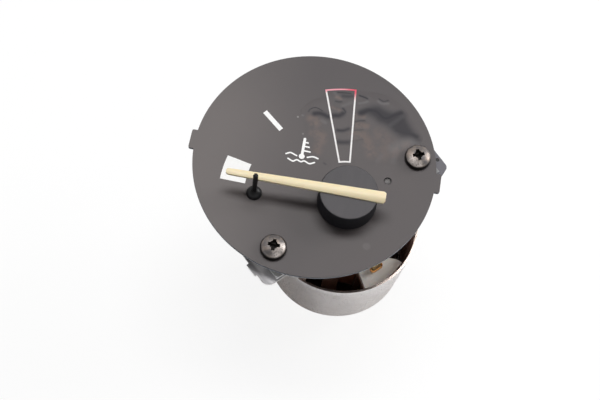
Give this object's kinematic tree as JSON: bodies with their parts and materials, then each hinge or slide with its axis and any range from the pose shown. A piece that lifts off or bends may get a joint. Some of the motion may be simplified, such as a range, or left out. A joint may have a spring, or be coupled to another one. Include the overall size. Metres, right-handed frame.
{
  "type": "coolant temperature gauge",
  "caption": "Cross-coil dial gauge for coolant temperature: round dial sheet with a pointer on an off-centre hub, a movement in an eared shield can, and threaded terminal studs behind.",
  "frame": {"origin": "centre of the three terminal studs, in the plane of their nuts' outer faces, where the wire terminals seat; it lies on the pointer's axis", "axes": "+Z along the pointer's axis towards the dial's face, +X to the right on the dial, through its two rim tabs, +Y to the top of the dial"},
  "size_m": [0.0572, 0.056, 0.0515],
  "materials": {
    "dial_paint": "matt dark grey paint with white and red print",
    "blackened_steel": "gunmetal plating, satin",
    "black_plastic": "moulded, matt",
    "grey_plastic": "moulded, satin light grey",
    "natural_nylon": "moulded nylon, satin",
    "copper_wire": "enamelled copper wire",
    "brass": "turned brass",
    "magnet": "sintered, matt",
    "can_steel": "tin-plated drawn sheet, satin bright",
    "base_plastic": "moulded phenolic",
    "fibre": "pressed fibre",
    "plated_steel": "zinc plated",
    "pointer_cream": "moulded, semi-matt cream"
  },
  "bodies": {
    "gauge": {"dial_plate": "dial_paint", "dial_screws": "blackened_steel", "stop_peg": "black_plastic", "movement_frame": "grey_plastic", "upper_bobbin": "natural_nylon", "lower_bobbin": "natural_nylon", "inner_coil": "copper_wire", "outer_coil": "copper_wire", "upper_bush": "brass", "thrust_bearing": "brass", "bias_magnet": "magnet", "shield_can": "can_steel", "terminal_base": "base_plastic", "terminal_studs": "brass", "solder_tags": "brass", "wire_wraps": "copper_wire", "insulating_bushes": "fibre", "terminal_washers": "plated_steel", "terminal_nuts": "brass"},
    "pointer": {"pointer_needle": "pointer_cream", "hub_cap": "black_plastic", "pointer_bush": "brass", "spindle": "plated_steel", "rotor_magnet": "magnet"}
  },
  "joints": [
    {"name": "pointer_sweep", "type": "hinge", "parent": "gauge", "child": "pointer", "pos_m": [0, 0, 0.035], "axis": [0, 0, -1], "range_deg": [0, 88]}
  ]
}
